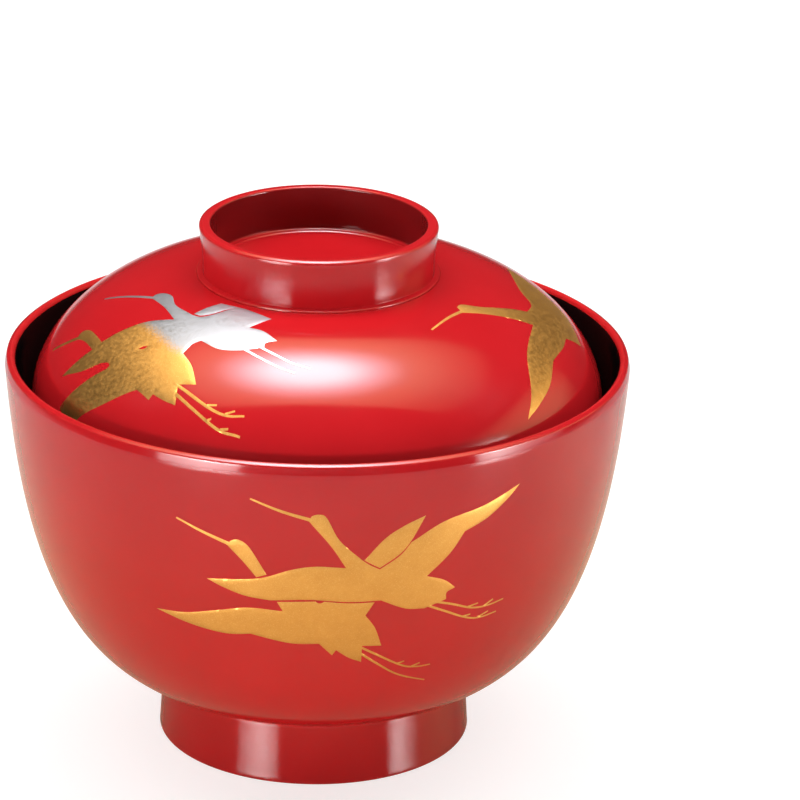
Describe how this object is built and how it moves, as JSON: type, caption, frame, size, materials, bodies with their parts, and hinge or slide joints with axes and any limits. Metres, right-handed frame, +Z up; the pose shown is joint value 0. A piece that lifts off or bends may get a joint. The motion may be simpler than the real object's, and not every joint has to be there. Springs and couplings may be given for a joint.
{
  "type": "lidded soup bowl",
  "caption": "Footed round soup bowl with a domed lid that sits inside the rim and lifts off by a ring; lacquered red outside and black inside, with gold cranes.",
  "frame": {"origin": "centre of the standing ring under the foot, on the surface that the bowl stands on", "axes": "+Z up along the turning axis, -Y towards the front, where the cranes on the bowl are, +X to their right"},
  "size_m": [0.1102, 0.1102, 0.0956],
  "materials": {
    "wood_core": "turned, sealed under the lacquer",
    "red_lacquer": "polished vermilion lacquer",
    "black_lacquer": "polished black lacquer",
    "gold_powder": "satin gold powder on lacquer"
  },
  "bodies": {
    "bowl": {"bowl_core": "wood_core", "bowl_red_lacquer": "red_lacquer", "bowl_black_lacquer": "black_lacquer", "foot_black_lacquer": "black_lacquer", "bowl_crane_lead": "gold_powder", "bowl_crane_far_wing": "gold_powder", "bowl_crane_follower": "gold_powder", "bowl_crane_follower_neck": "gold_powder"},
    "lid": {"lid_core": "wood_core", "lid_red_lacquer": "red_lacquer", "lid_black_lacquer": "black_lacquer", "lid_crane_pair": "gold_powder", "lid_crane_single": "gold_powder"}
  },
  "joints": [
    {"name": "lid_lift", "type": "slide", "parent": "bowl", "child": "lid", "axis": [0, 0, 1], "range_m": [0, 0.08]}
  ]
}
